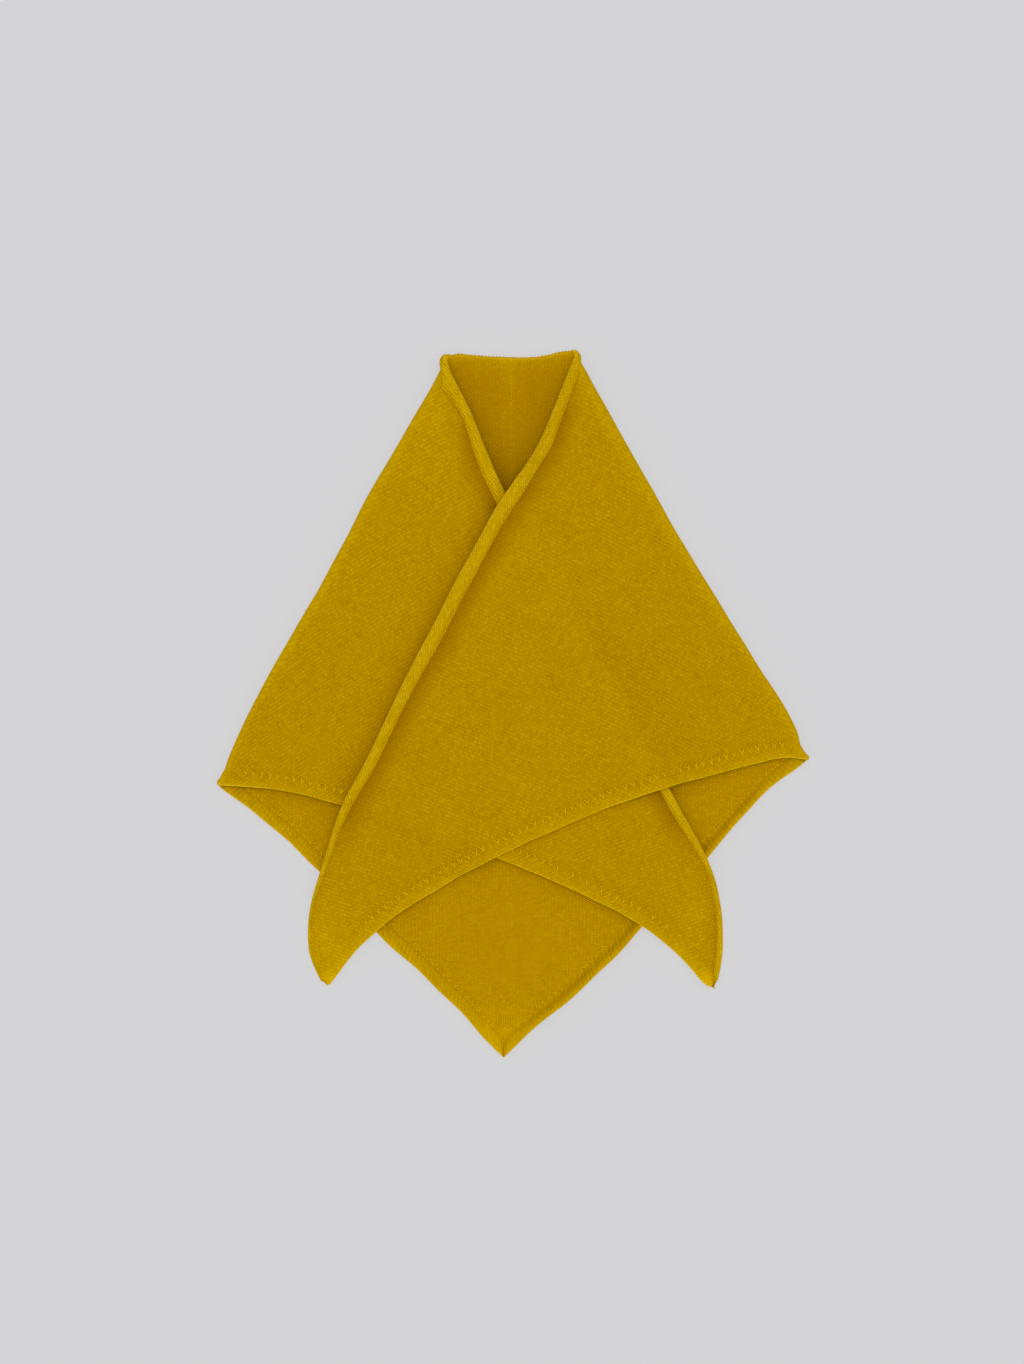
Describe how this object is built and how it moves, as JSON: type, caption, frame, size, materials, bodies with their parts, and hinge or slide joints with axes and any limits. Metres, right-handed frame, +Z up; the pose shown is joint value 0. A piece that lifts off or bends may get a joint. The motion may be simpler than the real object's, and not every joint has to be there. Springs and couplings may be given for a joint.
{
  "type": "neckerchief",
  "caption": "Fine-knit triangular neckerchief laid flat, its long neck edge rolled outward, both wings folded over the back panel and crossed, with turned hems on the short edges.",
  "frame": {"origin": "middle of the bounding box's bottom face, on the surface it lies on", "axes": "+Z up from the surface, +Y towards the neck opening, +X to the right as seen from above"},
  "size_m": [0.3456, 0.4143, 0.0211],
  "materials": {
    "knit": "matte fine jersey knit in mustard yellow",
    "rolled_edge": "matte jersey knit, rolled",
    "hem": "matte jersey knit, turned under"
  },
  "bodies": {
    "root": {"knitted_panel": "knit", "neck_roll": "rolled_edge", "left_hem": "hem", "right_hem": "hem"}
  },
  "joints": []
}
